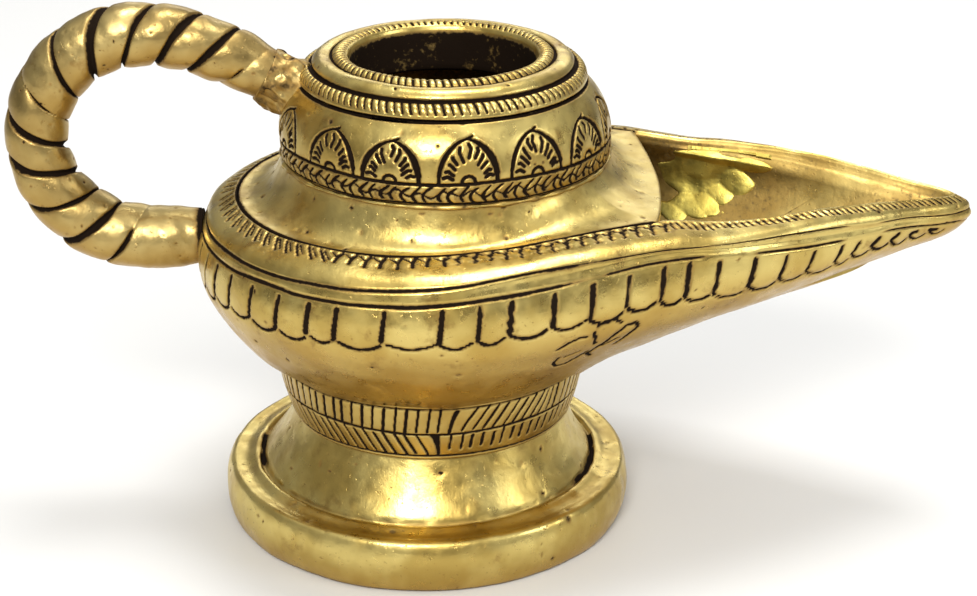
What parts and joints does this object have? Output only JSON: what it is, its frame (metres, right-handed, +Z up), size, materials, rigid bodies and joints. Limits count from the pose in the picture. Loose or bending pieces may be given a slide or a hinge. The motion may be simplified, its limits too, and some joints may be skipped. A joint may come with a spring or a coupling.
{
  "type": "diya oil lamp",
  "caption": "Cast brass diya oil lamp: hollow foot, neck band, round bowl drawn out into an open pouring spout, collared filling mouth and rope-twisted finger loop.",
  "frame": {"origin": "centre of the foot's rest face", "axes": "+Z up out of the rest face, +X along the spout, +Y across the lamp"},
  "size_m": [0.1334, 0.0662, 0.0742],
  "materials": {
    "cast_brass": "cast and buffed brass with dark tarnish in its hollows",
    "engraved_brass": "buffed brass with hand-cut engraving filled by near-black tarnish",
    "rope_brass": "cast rope twist, worn bright on the strands and dark in the grooves",
    "braze": "rough yellow-green brazing metal"
  },
  "bodies": {
    "root": {"foot": "cast_brass", "neck_band": "engraved_brass", "bowl": "engraved_brass", "deck_cover": "cast_brass", "collar": "engraved_brass", "rim_ring": "engraved_brass", "handle": "rope_brass", "collar_braze": "braze", "handle_high_braze": "braze", "handle_low_braze": "braze", "spout_braze": "braze"}
  },
  "joints": []
}
